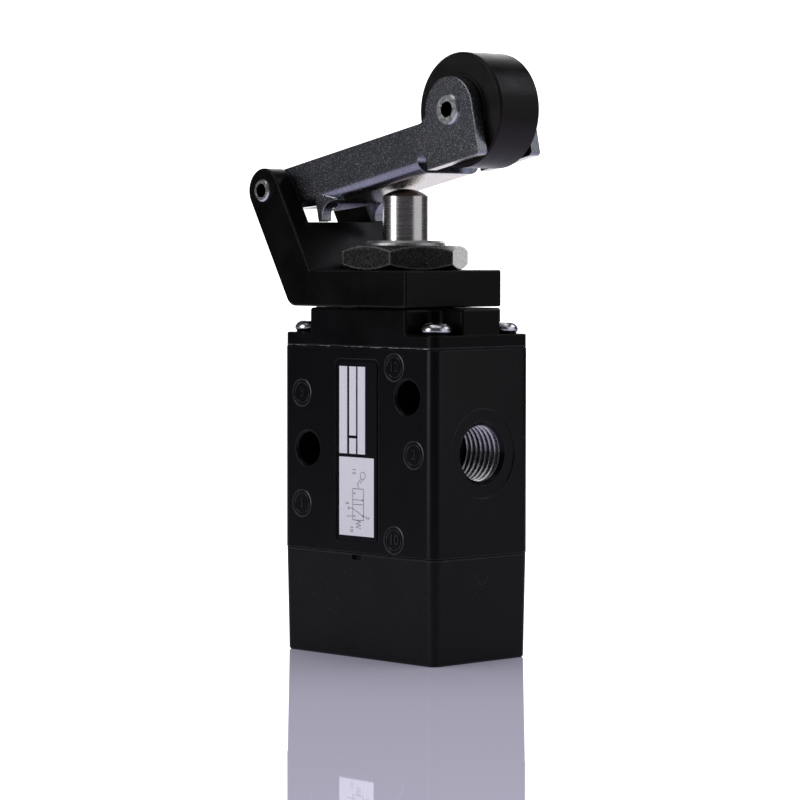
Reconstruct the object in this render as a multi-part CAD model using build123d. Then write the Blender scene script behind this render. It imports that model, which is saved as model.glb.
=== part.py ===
from build123d import *
import os
from math import atan2, cos, radians, sin, sqrt, tan

# Roller lever valve: a 3/2 spool valve with three threaded ports, worked by a roller on a pivoted lever.
# Millimetres. X runs across the label face towards the side of port 2, Y runs from the label face to the
# mounting face, and Z is up. The origin is the centre of the bottom face. The lever is at rest, raised.

# Housing stack, from the bottom up
body_width = 46.0
body_depth = 28.0
body_corner_radius = 2.3
bottom_cap_height = 21.5
bottom_cap_floor = 3.5
bottom_cap_setback = 0.1
bottom_cap_draft = 0.45
bottom_cap_edge_radius = 0.5
gasket_thickness = 0.25
flange_thickness = 2.5
flange_setback = 0.08
cap_block_height = 5.22
cap_block_setback = 0.5
cap_block_edge_radius = 0.6
cap_seat_height = 0.26
cap_seat_radius = 11.0
moulded_edge_radius = 0.35
cast_edge_chamfer = 0.25

# Ports: G1/4 parallel pipe thread, cut as rings of the real pitch and depth
port_spacing = 11.65
port_crest_radius = 5.7225
port_root_radius = 6.5785
thread_pitch = 1.337
thread_crest_flat = 0.3
thread_root_flat = 0.15
thread_turns = 8
port_chamfer = 0.9
port_face_radius = 9.2
port_face_depth = 0.25
port_drill_radius = 4.0

# Mounting holes through the body, and the marks on the label face
mounting_hole_radius = 3.4
mounting_hole_offset = 15.0
mounting_hole_chamfer = 0.45
label_recess_width = 13.0
label_recess_height = 38.2
label_recess_depth = 0.35
label_recess_radius = 1.2
label_border = 0.65
label_thickness = 0.2
mark_radius = 2.65
mark_depth = 0.15
mark_side_offset = 16.9
mark_end_offset_x = 11.1
mark_end_offset_z = 17.7
vent_slot_width = 2.9
vent_slot_height = 1.1
vent_slot_depth = 1.0

# Cap screws
lower_screw_inset = 4.5
upper_screw_side_inset = 3.95
upper_screw_face_inset = 4.3
screw_shank_radius = 1.75
screw_head_radius = 3.25
screw_head_height = 2.5
screw_head_dome = 1.3
screw_recess_width = 0.9
screw_recess_length = 3.7
screw_recess_depth = 1.2
screw_grip = 5.4
screw_hole_clearance = 0.05
screw_pocket_clearance = 0.35
screw_side_clearance = 1.3
screw_face_clearance = 0.95
lower_screw_land = 8.5

# Spool, seals and return spring
stack_bore_radius = 7.5
stack_clearance = 0.06
seal_thickness = 2.0
stack_end_length = 3.75
stack_top_length = 4.1
cage_wall_inner = 4.7
cage_window_radius = 1.7
cage_windows = 6
cage_groove_depth = 0.9
cage_groove_height = 5.0
spool_radius = 4.0
spool_waist_radius = 2.6
spool_land = 1.4
running_clearance = 0.05
plunger_stroke = 4.6
spigot_height = 1.2
spring_wire_radius = 0.55
spring_coil_radius = 4.3
spring_turns = 6
spring_length = 14.4
spring_seat_thickness = 1.5
spring_seat_lip = 0.8
spring_pilot_length = 3.0

# Plunger and the threaded guide that it slides in
plunger_radius = 4.8
plunger_show = 10.8
plunger_dome_radius = 8.3
collar_radius = 6.0
collar_thickness = 2.0
guide_thread_radius = 8.35
guide_flange_radius = 10.6
guide_flange_thickness = 2.4
guide_seal_radius = 0.55
guide_chamfer = 0.5
guide_neck_show = 1.0
fit_clearance = 0.1
wiper_groove_radius = 6.4
wiper_height = 2.0
wiper_depth = 2.2

# Bracket and nut
plate_thickness = 7.62
bracket_setback = 0.1
ear_lean = 29.2
ear_radius = 4.7
ear_thickness = 4.7
bracket_heel_radius = 3.0
bracket_edge_radius = 0.5
cross_web_thickness = 5.0
cross_web_height = 10.0
nut_across_flats = 23.6
nut_height = 5.1
nut_turn = 2.0
nut_chamfer = 1.3

# Lever: a pressed steel channel, open at the top, with a lobe each side of the roller
pivot_offset = 29.2
pivot_height = 16.7
pivot_pin_radius = 2.35
pivot_pin_bore = 1.4
pivot_pin_proud = 0.6
pivot_running_clearance = 0.06
pivot_rear_radius = 4.2
lever_rise = 11.9
lever_side_gap = 0.3
lever_sheet = 2.5
lever_height = 9.75
lever_bend_radius = 2.7
lever_contact_gap = 0.05
lever_taper_end = 12.3
web_start = 13.4
web_end = 42.1
relief_width = 2.6
relief_height = 3.2
stop_lug_back = 10.4
stop_lug_width = 1.3
stop_lug_drop = 3.4
stop_lug_foot = 6.6
stop_lug_fillet = 3.2
roller_reach = 53.1
roller_lift = 10.65
lobe_radius = 6.7
lobe_fillet = 2.5
lever_corner_radius = 0.8
spacer_wall = 1.5

# Roller and its hollow riveted pin
roller_radius = 11.75
roller_edge = 0.4
roller_boss_radius = 7.4
roller_boss_height = 0.375
roller_side_clearance = 0.35
roller_bush_wall = 0.75
roller_pin_radius = 2.5
roller_pin_bore = 1.55
rivet_head_radius = 3.1
rivet_head_height = 0.6
rivet_edge = 0.3

# Heights and places worked out from the sizes above
body_bottom = bottom_cap_height + gasket_thickness
body_height = 3 * port_spacing + stack_end_length + stack_top_length
body_top = body_bottom + body_height
port_middle = body_bottom + stack_end_length + 1.5 * port_spacing
flange_bottom = body_top + gasket_thickness
flange_top = flange_bottom + flange_thickness
block_top = flange_top + cap_block_height
bracket_bottom = block_top + cap_seat_height
plate_top = bracket_bottom + plate_thickness
nut_top = plate_top + nut_height
guide_top = nut_top + guide_neck_show
plunger_tip = guide_top + plunger_show
upper_screw_x = body_width / 2 - upper_screw_side_inset
upper_screw_y = body_depth / 2 - upper_screw_face_inset
lower_screw_x = body_width / 2 - lower_screw_inset
lower_screw_y = body_depth / 2 - lower_screw_inset
corners = [(sx, sy) for sx in (-1, 1) for sy in (-1, 1)]
upper_screws = [(sx * upper_screw_x, sy * upper_screw_y) for sx, sy in corners]
lower_screws = [(sx * lower_screw_x, sy * lower_screw_y) for sx, sy in corners]
screw_hole_radius = screw_shank_radius + screw_hole_clearance
block_side = upper_screw_x - screw_head_radius - screw_side_clearance
block_tongue = upper_screw_y - screw_head_radius - screw_face_clearance
seal_levels = [port_middle + step * port_spacing for step in (-1.5, -0.5, 0.5, 1.5)]
ports = [(-1, port_middle - port_spacing), (1, port_middle), (-1, port_middle + port_spacing)]
mounting_holes = [
    (-mounting_hole_offset, port_middle),
    (mounting_hole_offset, port_middle + port_spacing),
]
marks = [
    (mark_end_offset_x, port_middle + mark_end_offset_z),
    (-mark_side_offset, port_middle + port_spacing),
    (mark_side_offset, port_middle),
    (-mark_side_offset, port_middle - port_spacing),
    (mark_end_offset_x, port_middle - mark_end_offset_z),
]
guide_flange_bottom = flange_bottom + fit_clearance
guide_flange_top = guide_flange_bottom + guide_flange_thickness
guide_seal_groove = guide_thread_radius + 2 * guide_seal_radius + 2 * fit_clearance
spool_hole_radius = spool_radius + running_clearance
collar_bore_radius = collar_radius + 6 * running_clearance
collar_bottom = body_top + fit_clearance + plunger_stroke + running_clearance
collar_top = collar_bottom + collar_thickness
dome_centre = plunger_tip - plunger_dome_radius
dome_edge = dome_centre + sqrt(plunger_dome_radius**2 - plunger_radius**2)
spring_top = bottom_cap_floor + spring_length
spool_bottom = spring_top + spring_seat_thickness
spring_outer = spring_coil_radius + spring_wire_radius
spring_cavity_radius = spring_outer + spring_seat_lip
bracket_half = body_depth / 2 - bracket_setback
ear_gap = bracket_half - ear_thickness
lever_half = ear_gap - lever_side_gap
cheek_inner = lever_half - lever_sheet
pivot_x = -pivot_offset
pivot_z = plate_top + pivot_height
rise = radians(lever_rise)
lean = radians(ear_lean)
web_under = (
    -pivot_offset * sin(rise) + (dome_centre - pivot_z) * cos(rise)
    + plunger_dome_radius + lever_contact_gap
)
cheek_top = web_under + lever_height
roller_level = web_under + roller_lift
roller_x = pivot_x + roller_reach * cos(rise) - roller_level * sin(rise)
roller_z = pivot_z + roller_reach * sin(rise) + roller_level * cos(rise)
lever_front = roller_reach + lobe_radius
BASE = (Align.CENTER, Align.CENTER, Align.MIN)


def block(x, y, z):
    """A box between two limits on each axis."""
    size = [limits[1] - limits[0] for limits in (x, y, z)]
    return Pos(x[0], y[0], z[0]) * Box(*size, align=(Align.MIN, Align.MIN, Align.MIN))


def rod(radius, low, high, x=0.0, y=0.0):
    """A round bar along Z from low to high."""
    return Pos(x, y, low) * Cylinder(radius, high - low, align=BASE)


def cross_rod(radius, half_length, x=0.0, z=0.0):
    """A round bar along Y, centred on Y = 0."""
    return Pos(x, 0, z) * Rot(90, 0, 0) * Cylinder(radius, 2 * half_length)


def turned(*points):
    """A solid turned about Z from (radius, height) points."""
    return revolve(make_face(Plane.XZ * Polyline(*points, close=True)), Axis.Z)


def ring(inner, outer, low, high):
    """A plain ring about Z."""
    return turned((inner, low), (outer, low), (outer, high), (inner, high))


def slab(width, depth, radius, low, high):
    """A rounded rectangle of the housing's plan, from low to high."""
    return extrude(Pos(0, 0, low) * RectangleRounded(width, depth, radius), high - low)


def across(outline, half_width):
    """An outline drawn in X and Z, made solid to each side of Y = 0."""
    return extrude(Plane.XZ * outline, half_width, both=True)


def on_lever(piece):
    """Moves a piece from the lever's own frame, pivot at the origin, to its raised place."""
    return Pos(pivot_x, 0, pivot_z) * Rot(0, -lever_rise, 0) * piece


def port_cutter():
    """What one port takes out of the body, mouth at Z = 0 and running towards +Z."""
    flank = (thread_pitch - thread_crest_flat - thread_root_flat) / 2
    start = port_face_depth + port_chamfer + thread_crest_flat
    outline = [(0, port_face_depth), (port_crest_radius + port_chamfer, port_face_depth)]
    outline.append((port_crest_radius, port_face_depth + port_chamfer))
    for turn in range(thread_turns):
        level = start + turn * thread_pitch
        outline += [
            (port_crest_radius, level),
            (port_root_radius, level + flank),
            (port_root_radius, level + flank + thread_root_flat),
            (port_crest_radius, level + 2 * flank + thread_root_flat),
        ]
    end = start + thread_turns * thread_pitch
    cone = end + (port_crest_radius - port_drill_radius) * tan(radians(30))
    outline += [(port_crest_radius, end), (port_drill_radius, cone), (0, cone)]
    face = rod(port_face_radius, -port_face_depth, port_face_depth)
    drilling = rod(port_drill_radius, end, body_width / 2 - stack_bore_radius / 2)
    return turned(*outline) + face + drilling


def valve_body():
    """Machined casting with the seal bore, the three ports and the two mounting holes."""
    body = slab(body_width, body_depth, body_corner_radius, body_bottom, body_top)
    rims = body.edges().group_by(Axis.Z)
    body = chamfer(rims[0] + rims[-1], cast_edge_chamfer)
    body -= rod(stack_bore_radius, body_bottom, body_top)
    cutter = port_cutter()
    for side, level in ports:
        mouth = Plane(origin=(side * body_width / 2, 0, level), x_dir=(0, 1, 0), z_dir=(-side, 0, 0))
        body -= mouth * cutter
    for x, z in mounting_holes:
        body -= cross_rod(mounting_hole_radius, body_depth, x, z)
        for side in (-1, 1):
            mouth = Plane(origin=(x, side * body_depth / 2, z), z_dir=(0, -side, 0))
            body -= mouth * turned(
                (0, 0), (mounting_hole_radius + mounting_hole_chamfer, 0),
                (mounting_hole_radius, mounting_hole_chamfer), (0, mounting_hole_chamfer),
            )
    for x, y in upper_screws:
        body -= rod(screw_hole_radius, body_top - screw_grip, body_top, x, y)
    for x, y in lower_screws:
        body -= rod(screw_hole_radius, body_bottom, body_bottom + screw_grip, x, y)
    front = Plane(origin=(0, -body_depth / 2, port_middle), x_dir=(1, 0, 0), z_dir=(0, -1, 0))
    recess = RectangleRounded(label_recess_width, label_recess_height, label_recess_radius)
    body -= extrude(front * recess, -label_recess_depth)
    for x, z in marks:
        body -= extrude(front * Pos(x, z - port_middle) * Circle(mark_radius), -mark_depth)
    return body


def label_plate():
    """Thin printed plate in the recess of the label face."""
    back = -body_depth / 2 + label_recess_depth
    plane = Plane(origin=(0, back, port_middle), x_dir=(1, 0, 0), z_dir=(0, -1, 0))
    plate = RectangleRounded(
        label_recess_width - 2 * label_border, label_recess_height - 2 * label_border, label_recess_radius / 2
    )
    return extrude(plane * plate, label_thickness)


def bottom_cap():
    """Moulded cap that holds the return spring, a little narrower towards its foot."""
    def plan(inset, level):
        radius = body_corner_radius - inset
        return Pos(0, 0, level) * RectangleRounded(body_width - 2 * inset, body_depth - 2 * inset, radius)

    foot = plan(bottom_cap_setback + bottom_cap_draft, 0)
    cap = loft([foot, plan(bottom_cap_setback, bottom_cap_height)], ruled=True)
    cap = fillet(cap.edges().group_by(Axis.Z)[0], bottom_cap_edge_radius)
    spigot_top = body_bottom + spigot_height
    cap += rod(stack_bore_radius - stack_clearance, bottom_cap_height - gasket_thickness, spigot_top)
    cap -= rod(spring_cavity_radius, bottom_cap_floor, spigot_top)
    for x, y in lower_screws:
        cap -= rod(screw_hole_radius, 0, bottom_cap_height, x, y)
        cap -= rod(screw_head_radius + screw_pocket_clearance, 0, bottom_cap_height - lower_screw_land, x, y)
    slot_y = -body_depth / 2 + vent_slot_depth
    cap -= block(
        (-vent_slot_width / 2, vent_slot_width / 2), (-body_depth, slot_y),
        (bottom_cap_height - vent_slot_height, bottom_cap_height),
    )
    return cap


def gasket(level, opening, screws):
    """Flat gasket between the body and a cap, with a round opening round the axis."""
    width = body_width - 2 * bottom_cap_setback
    depth = body_depth - 2 * bottom_cap_setback
    sheet = slab(width, depth, body_corner_radius - bottom_cap_setback, level, level + gasket_thickness)
    sheet -= rod(opening, level, level + gasket_thickness)
    for x, y in screws:
        sheet -= rod(screw_hole_radius, level, level + gasket_thickness, x, y)
    return sheet


def top_cap():
    """Moulded flange with a block whose corners are notched for the screw heads."""
    cap = slab(
        body_width - 2 * flange_setback, body_depth - 2 * flange_setback, body_corner_radius,
        flange_bottom, flange_top,
    )
    cap = fillet(cap.edges().group_by(Axis.Z)[-1], moulded_edge_radius)
    sides = RectangleRounded(2 * block_side, body_depth - 2 * bracket_setback, cap_block_edge_radius)
    tongues = RectangleRounded(body_width - 2 * cap_block_setback, 2 * block_tongue, cap_block_edge_radius)
    plan = sides + tongues
    inner = [v for v in plan.vertices() if abs(abs(v.X) - block_side) + abs(abs(v.Y) - block_tongue) < 0.01]
    plan = fillet(inner, screw_head_radius - cap_block_edge_radius)
    upper = extrude(Pos(0, 0, flange_bottom) * plan, block_top - flange_bottom)
    upper = fillet(upper.edges().group_by(Axis.Z)[-1], cap_block_edge_radius)
    cap += upper + rod(cap_seat_radius, flange_top, bracket_bottom)
    cap -= rod(guide_thread_radius + fit_clearance, flange_bottom, bracket_bottom)
    cap -= rod(guide_flange_radius + fit_clearance, flange_bottom, guide_flange_top)
    cap -= rod(guide_seal_groove, flange_bottom, guide_flange_top + 2 * guide_seal_radius + fit_clearance)
    for x, y in upper_screws:
        cap -= rod(screw_hole_radius, flange_bottom, flange_top, x, y)
    return cap


def cap_screw(length):
    """Pan head screw with a cross recess, head seat at Z = 0 and shank downwards."""
    head = rod(screw_head_radius, 0, screw_head_height)
    head = fillet(head.edges().group_by(Axis.Z)[-1], screw_head_dome)
    for turn in (0, 90):
        slot = Box(screw_recess_length, screw_recess_width, 2 * screw_recess_depth)
        head -= Pos(0, 0, screw_head_height) * Rot(0, 0, turn) * slot
    return head + rod(screw_shank_radius, -length, 0)


def upper_cap_screws():
    """Four screws through the top cap into the body."""
    screw = cap_screw(flange_thickness + gasket_thickness + screw_grip - fit_clearance)
    return Compound([(Pos(x, y, flange_top) * screw).solid() for x, y in upper_screws])


def lower_cap_screws():
    """Four screws from below, their heads deep in the bottom cap."""
    screw = cap_screw(lower_screw_land + gasket_thickness + screw_grip - fit_clearance)
    seat = bottom_cap_height - lower_screw_land
    return Compound([(Pos(x, y, seat) * Rot(180, 0, 0) * screw).solid() for x, y in lower_screws])


def spool_seals():
    """Four lipped rubber rings that the spool slides through."""
    outer = stack_bore_radius - stack_clearance / 2
    inner = spool_hole_radius
    lip = seal_thickness / 4
    seals = []
    for level in seal_levels:
        low, high = level - seal_thickness / 2, level + seal_thickness / 2
        seals.append(turned(
            (inner, level - lip), (inner + lip, low), (outer, low), (outer, high),
            (inner + lip, high), (inner, level + lip),
        ).solid())
    return Compound(seals)


def port_cages():
    """Three spacer rings that hold the seals apart and let air through to each port."""
    outer = stack_bore_radius - stack_clearance
    half = (port_spacing - seal_thickness) / 2 - stack_clearance
    groove = cage_groove_height / 2
    cages = []
    for step in (-1, 0, 1):
        level = port_middle + step * port_spacing
        cage = turned(
            (cage_wall_inner, level - half), (outer, level - half), (outer, level - groove),
            (outer - cage_groove_depth, level - groove), (outer - cage_groove_depth, level + groove),
            (outer, level + groove), (outer, level + half), (cage_wall_inner, level + half),
        )
        for index in range(cage_windows):
            turn = index * 360 / cage_windows
            cage -= Pos(0, 0, level) * Rot(0, 90, turn) * rod(cage_window_radius, 0, stack_bore_radius)
        cages.append(cage.solid())
    return Compound(cages)


def stack_end_rings():
    """Plain rings that close the seal stack at each end of the bore."""
    outer = stack_bore_radius - stack_clearance
    low = ring(
        cage_wall_inner, outer,
        body_bottom + spigot_height + stack_clearance, seal_levels[0] - seal_thickness / 2 - stack_clearance,
    )
    high = ring(cage_wall_inner, outer, seal_levels[-1] + seal_thickness / 2 + stack_clearance, body_top)
    return Compound([low.solid(), high.solid()])


def spool():
    """Turned spool: its waist joins ports 2 and 3 at rest, and ports 1 and 2 when pressed."""
    waist_low = seal_levels[1] + seal_thickness / 2 + spool_land
    waist_high = seal_levels[2] + seal_thickness / 2 + spool_land
    slope = spool_radius - spool_waist_radius
    return turned(
        (0, spool_bottom), (spool_radius, spool_bottom), (spool_radius, waist_low - slope),
        (spool_waist_radius, waist_low), (spool_waist_radius, waist_high),
        (spool_radius, waist_high + slope), (spool_radius, collar_bottom), (0, collar_bottom),
    )


def spring_seat():
    """Flanged seat between the spool and the return spring, with a pilot inside the coil."""
    pilot = spring_coil_radius - spring_wire_radius - fit_clearance
    seat = rod(spring_outer + fit_clearance, spring_top, spool_bottom)
    return seat + rod(pilot, spring_top - spring_pilot_length, spring_top)


def return_spring():
    """Compression spring between the cap's floor and the spring seat."""
    rise_per_turn = (spring_length - 2 * spring_wire_radius - fit_clearance) / spring_turns
    path = Helix(rise_per_turn, rise_per_turn * spring_turns, spring_coil_radius)
    wire = Plane(origin=path @ 0, z_dir=path % 0) * Circle(spring_wire_radius)
    start = bottom_cap_floor + spring_wire_radius + fit_clearance / 2
    return Pos(0, 0, start) * sweep(wire, path=path, is_frenet=True)


def plunger():
    """Turned pin with a domed top and a collar that keeps it in the guide."""
    apex = (0, plunger_tip)
    half_turn = atan2(plunger_radius, dome_edge - dome_centre) / 2
    middle = (plunger_dome_radius * sin(half_turn), dome_centre + plunger_dome_radius * cos(half_turn))
    side = Polyline(
        apex, (0, collar_bottom), (collar_radius, collar_bottom), (collar_radius, collar_top),
        (plunger_radius, collar_top), (plunger_radius, dome_edge),
    )
    outline = side + ThreePointArc((plunger_radius, dome_edge), middle, apex)
    return revolve(make_face(Plane.XZ * outline), Axis.Z)


def plunger_guide():
    """Threaded guide: flanged below the top cap, up through the bracket, and held by the nut."""
    bore = plunger_radius + running_clearance
    groove_top = guide_top - wiper_depth
    groove_low = groove_top - wiper_height
    return turned(
        (collar_bore_radius, guide_flange_bottom), (guide_flange_radius, guide_flange_bottom),
        (guide_flange_radius, guide_flange_top), (guide_thread_radius, guide_flange_top),
        (guide_thread_radius, guide_top - guide_chamfer), (guide_thread_radius - guide_chamfer, guide_top),
        (bore, guide_top), (bore, groove_top), (wiper_groove_radius, groove_top),
        (wiper_groove_radius, groove_low), (bore, groove_low),
        (bore, collar_top + running_clearance), (collar_bore_radius, collar_top + running_clearance),
    )


def plunger_wiper():
    """Rubber lip ring in the guide's upper groove."""
    high = guide_top - wiper_depth - running_clearance
    low = high - wiper_height + 2 * running_clearance
    inner = plunger_radius + running_clearance
    return ring(inner, wiper_groove_radius - running_clearance, low, high)


def guide_seal():
    """Rubber ring that seals the guide's flange against the top cap."""
    middle = guide_seal_groove - guide_seal_radius - fit_clearance
    return Pos(0, 0, guide_flange_top + guide_seal_radius) * Torus(middle, guide_seal_radius)


def ear_line(offset, level):
    """X of a line along the ear, at a sideways offset from the pivot, at a height."""
    return pivot_x + offset / cos(lean) + (pivot_z - level) * tan(lean)


def lever_bracket():
    """Cast bracket: a plate clamped by the nut, two leaning ears and a web between them."""
    front = block_side
    heel = ear_line(-ear_radius, bracket_bottom)
    plate = across(make_face(Polyline(
        (heel, bracket_bottom), (front, bracket_bottom), (front, plate_top),
        (ear_line(-ear_radius, plate_top), plate_top), close=True,
    )), bracket_half)
    arm = across(make_face(Polyline(
        (heel, bracket_bottom), (ear_line(ear_radius, bracket_bottom), bracket_bottom),
        (pivot_x + ear_radius * cos(lean), pivot_z + ear_radius * sin(lean)),
        (pivot_x - ear_radius * cos(lean), pivot_z - ear_radius * sin(lean)), close=True,
    )), bracket_half)
    arm += cross_rod(ear_radius, bracket_half, pivot_x, pivot_z)
    web_top = plate_top + cross_web_height
    web = across(make_face(Polyline(
        (ear_line(ear_radius - cross_web_thickness, bracket_bottom + plate_thickness / 2),
         bracket_bottom + plate_thickness / 2),
        (ear_line(ear_radius, bracket_bottom + plate_thickness / 2), bracket_bottom + plate_thickness / 2),
        (ear_line(ear_radius, web_top), web_top),
        (ear_line(ear_radius - cross_web_thickness, web_top), web_top), close=True,
    )), ear_gap)
    gap = block((pivot_x - body_width, block_side), (-ear_gap, ear_gap), (plate_top, 2 * pivot_z))
    bracket = plate + (arm - gap)
    heel_edge = bracket.edges().filter_by(Axis.Y).sort_by_distance((heel, 0, bracket_bottom))[0]
    bracket = fillet(heel_edge, bracket_heel_radius)
    front_edges = bracket.edges().filter_by(Axis.Z).group_by(Axis.X)[-1]
    bracket = fillet(front_edges, bracket_edge_radius)
    outer = bracket.faces().filter_by(Axis.Y).filter_by(lambda f: abs(abs(f.center().Y) - bracket_half) < 0.01)
    bracket = chamfer(outer.edges(), bracket_edge_radius / 2)
    bracket += web
    bracket -= rod(guide_thread_radius + fit_clearance, bracket_bottom, plate_top)
    return bracket - cross_rod(pivot_pin_radius, bracket_half, pivot_x, pivot_z)


def bracket_nut():
    """Thin hexagon nut on the guide's thread, its corners chamfered both sides."""
    corner = nut_across_flats / sqrt(3)
    shape = Pos(0, 0, plate_top) * Rot(0, 0, nut_turn) * extrude(RegularPolygon(corner, 6), nut_height)
    flat = nut_across_flats / 2
    drop = nut_chamfer
    shape &= turned(
        (guide_thread_radius, plate_top), (flat - drop / 4, plate_top), (corner + drop / 8, plate_top + drop),
        (corner + drop / 8, nut_top - drop), (flat - drop / 4, nut_top), (guide_thread_radius, nut_top),
    )
    return shape


def pivot_pin():
    """Hollow pin fixed in the two ears, its ends a little proud."""
    half = bracket_half + pivot_pin_proud
    pin = cross_rod(pivot_pin_radius, half, pivot_x, pivot_z)
    pin = chamfer(pin.edges().filter_by(GeomType.CIRCLE), rivet_edge)
    return pin - cross_rod(pivot_pin_bore, half, pivot_x, pivot_z)


def pivot_spacer():
    """Tube between the lever's cheeks that turns on the pivot pin."""
    bore = pivot_pin_radius + pivot_running_clearance
    half = cheek_inner - fit_clearance
    tube = cross_rod(bore + spacer_wall, half, pivot_x, pivot_z)
    return tube - cross_rod(bore, half, pivot_x, pivot_z)


def roller_lever():
    """Pressed channel: two cheeks with stop lugs, a web that meets the plunger, and the roller lobes."""
    eye = Circle(pivot_rear_radius)
    run = Pos(lever_taper_end, web_under) * Rectangle(
        lever_front - lever_taper_end, lever_height, align=(Align.MIN, Align.MIN)
    )
    cheek = make_hull(eye.edges() + run.edges())
    lobe_foot = Pos(roller_reach, web_under) * Rectangle(lobe_radius, roller_lift, align=(Align.MIN, Align.MIN))
    cheek += lobe_foot + Pos(roller_reach, roller_level) * Circle(lobe_radius)
    lobe_back = roller_reach - sqrt(lobe_radius**2 - (roller_level - cheek_top) ** 2)
    nook = cheek.vertices().sort_by_distance((lobe_back, cheek_top, 0))[0]
    cheek = fillet(nook, lobe_fillet)
    toe = cheek.vertices().sort_by_distance((lever_front, web_under, 0))[0]
    cheek = fillet(toe, lever_corner_radius)
    lever = across(cheek, lever_half)
    far = lever_front + lobe_radius
    lever -= block((-far, far), (-cheek_inner, cheek_inner), (-far, far))
    lever += block((web_start, web_end), (-lever_half, lever_half), (web_under, web_under + lever_sheet))
    relief = Pos(web_end + relief_width / 2, web_under) * (
        Rectangle(relief_width, 2 * relief_height - relief_width)
        + Pos(0, relief_height - relief_width / 2) * Circle(relief_width / 2)
    )
    lever -= across(relief, lever_half)
    for side in (-1, 1):
        centre = side * (lever_half - lever_bend_radius)
        level = web_under + lever_bend_radius
        square = block(
            (-far, web_end), tuple(sorted((centre, side * lever_half))), (web_under, level)
        )
        bend = Pos(0, centre, level) * Rot(0, 90, 0) * Cylinder(lever_bend_radius, 2 * far)
        lever -= square - bend
    lug_tip = stop_lug_back + stop_lug_width
    lug = make_face(Polyline(
        (stop_lug_back, web_under + lever_bend_radius), (stop_lug_back, web_under - stop_lug_drop),
        (lug_tip, web_under - stop_lug_drop), (lug_tip, web_under),
        (stop_lug_back + stop_lug_foot, web_under), close=True,
    ))
    lug = fillet(lug.vertices().sort_by_distance((lug_tip, web_under, 0))[0], stop_lug_fillet)
    lever += across(lug, lever_half) - across(lug, cheek_inner)
    lever -= cross_rod(pivot_pin_radius + pivot_running_clearance, lever_half)
    lever -= cross_rod(roller_pin_radius, lever_half, roller_reach, roller_level)
    return on_lever(lever)


def roller():
    """Moulded roller with a raised boss each side, pressed on its bush."""
    boss = cheek_inner - roller_side_clearance
    half = boss - roller_boss_height
    inner = roller_pin_radius + running_clearance + roller_bush_wall
    shape = turned(
        (inner, -boss), (roller_boss_radius, -boss), (roller_boss_radius, -half),
        (roller_radius - roller_edge, -half), (roller_radius, roller_edge - half),
        (roller_radius, half - roller_edge), (roller_radius - roller_edge, half),
        (roller_boss_radius, half), (roller_boss_radius, boss), (inner, boss),
    )
    return Pos(roller_x, 0, roller_z) * Rot(90, 0, 0) * shape


def roller_bush():
    """Plain bearing bush inside the roller."""
    inner = roller_pin_radius + running_clearance
    half = cheek_inner - roller_side_clearance
    bush = ring(inner, inner + roller_bush_wall, -half, half)
    return Pos(roller_x, 0, roller_z) * Rot(90, 0, 0) * bush


def roller_pin():
    """Hollow rivet through the lobes, with a low head each side."""
    tip = lever_half + rivet_head_height
    shape = turned(
        (roller_pin_bore, -tip), (rivet_head_radius - rivet_edge, -tip), (rivet_head_radius, rivet_edge - tip),
        (rivet_head_radius, -lever_half), (roller_pin_radius, -lever_half), (roller_pin_radius, lever_half),
        (rivet_head_radius, lever_half), (rivet_head_radius, tip - rivet_edge),
        (rivet_head_radius - rivet_edge, tip), (roller_pin_bore, tip),
    )
    return Pos(roller_x, 0, roller_z) * Rot(90, 0, 0) * shape


pieces = {
    "valve_body": valve_body(),
    "label_plate": label_plate(),
    "bottom_cap": bottom_cap(),
    "bottom_gasket": gasket(bottom_cap_height, stack_bore_radius, lower_screws),
    "top_gasket": gasket(body_top, guide_flange_radius + fit_clearance, upper_screws),
    "top_cap": top_cap(),
    "upper_cap_screws": upper_cap_screws(),
    "lower_cap_screws": lower_cap_screws(),
    "spool_seals": spool_seals(),
    "port_cages": port_cages(),
    "stack_end_rings": stack_end_rings(),
    "spool": spool(),
    "spring_seat": spring_seat(),
    "return_spring": return_spring(),
    "plunger": plunger(),
    "plunger_guide": plunger_guide(),
    "plunger_wiper": plunger_wiper(),
    "guide_seal": guide_seal(),
    "lever_bracket": lever_bracket(),
    "bracket_nut": bracket_nut(),
    "pivot_pin": pivot_pin(),
    "pivot_spacer": pivot_spacer(),
    "roller_lever": roller_lever(),
    "roller": roller(),
    "roller_bush": roller_bush(),
    "roller_pin": roller_pin(),
}

os.makedirs("parts", exist_ok=True)
for name, shape in pieces.items():
    export_step(shape, f"parts/{name}.step")
print("pivot", pivot_x, pivot_z, "roller", round(roller_x, 3), round(roller_z, 3))
print("web under", round(web_under, 3), "lever half", lever_half, "top", round(roller_z + roller_radius, 2))
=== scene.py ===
import math

import bmesh
import bpy
from mathutils import Matrix, Vector


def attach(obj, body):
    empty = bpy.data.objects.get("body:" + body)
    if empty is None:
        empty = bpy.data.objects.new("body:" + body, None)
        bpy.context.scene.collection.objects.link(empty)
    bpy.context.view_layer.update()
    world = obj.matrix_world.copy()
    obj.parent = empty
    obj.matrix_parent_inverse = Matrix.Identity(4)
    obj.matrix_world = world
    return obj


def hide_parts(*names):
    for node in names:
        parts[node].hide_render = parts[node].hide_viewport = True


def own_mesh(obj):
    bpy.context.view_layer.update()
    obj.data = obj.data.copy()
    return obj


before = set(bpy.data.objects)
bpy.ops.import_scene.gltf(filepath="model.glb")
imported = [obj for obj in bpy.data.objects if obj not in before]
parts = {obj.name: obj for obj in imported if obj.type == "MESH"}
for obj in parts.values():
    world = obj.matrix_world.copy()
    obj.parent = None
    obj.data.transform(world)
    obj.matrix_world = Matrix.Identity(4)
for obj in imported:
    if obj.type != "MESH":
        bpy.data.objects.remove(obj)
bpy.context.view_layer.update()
MM = 0.001

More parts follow.
